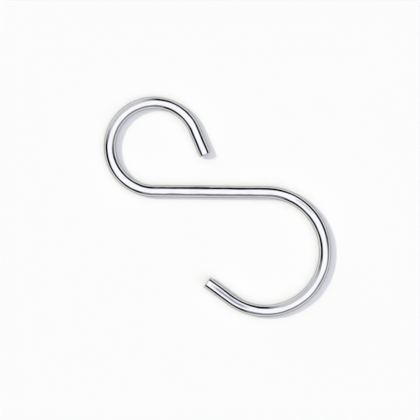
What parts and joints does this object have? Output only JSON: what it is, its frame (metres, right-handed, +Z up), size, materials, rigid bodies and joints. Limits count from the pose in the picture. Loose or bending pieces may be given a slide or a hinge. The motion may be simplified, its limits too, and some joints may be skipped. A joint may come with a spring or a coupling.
{
  "type": "s hook",
  "caption": "S hook bent from one length of round plated steel wire, with a small closed hook, a straight shank and a large open hook.",
  "frame": {"origin": "middle of the outline, on the surface that the hook lies on", "axes": "+X along the straight shank, from the small hook to the large one; +Y towards the side that the small hook bends to; +Z up from the surface, square to the plane of the S"},
  "size_m": [0.075, 0.072, 0.004],
  "materials": {
    "bright_wire": "bright nickel-chrome plated steel wire, polished"
  },
  "bodies": {
    "root": {"hook": "bright_wire"}
  },
  "joints": []
}
